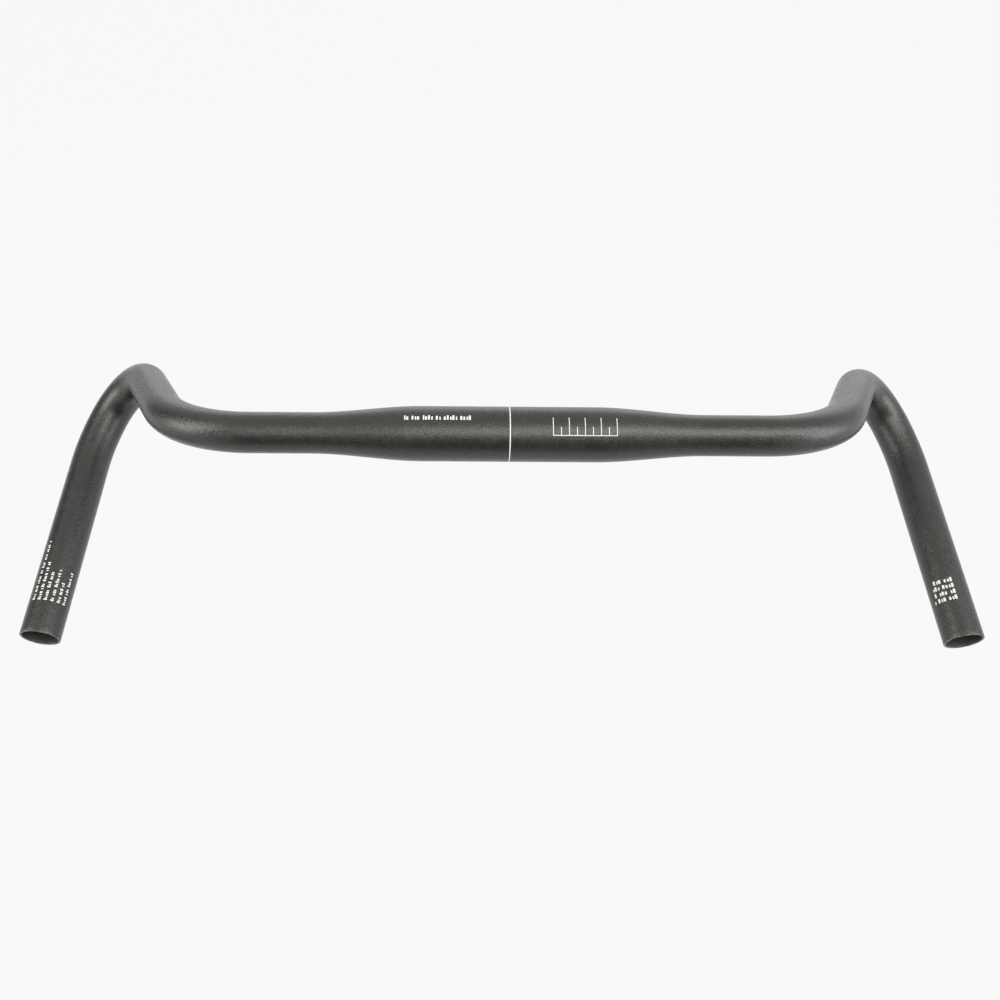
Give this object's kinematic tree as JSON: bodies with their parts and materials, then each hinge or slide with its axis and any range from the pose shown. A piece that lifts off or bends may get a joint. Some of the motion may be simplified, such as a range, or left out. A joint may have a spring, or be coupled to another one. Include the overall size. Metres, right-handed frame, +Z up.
{
  "type": "drop handlebar",
  "caption": "Flared bicycle drop handlebar: a bent tube that swells at the stem clamp, with open cut ends and printed marks.",
  "frame": {"origin": "centre of the stem clamp section, on the tube's axis", "axes": "+X to the rider's right along the tops, +Y forwards in the riding direction, +Z up"},
  "size_m": [0.5838, 0.1762, 0.1281],
  "materials": {
    "tube": "satin bead-blasted black anodising, rubbed pale here and there at the cut ends",
    "ink": "flat white printed ink"
  },
  "bodies": {
    "root": {"bar": "tube", "centre_line": "ink", "caption_bar": "ink", "centring_scale": "ink", "left_line_1": "ink", "left_line_2": "ink", "left_line_3": "ink", "left_line_4": "ink", "left_line_5": "ink", "left_line_6": "ink", "right_line_1": "ink", "right_line_2": "ink", "right_line_3": "ink", "right_line_4": "ink"}
  },
  "joints": []
}
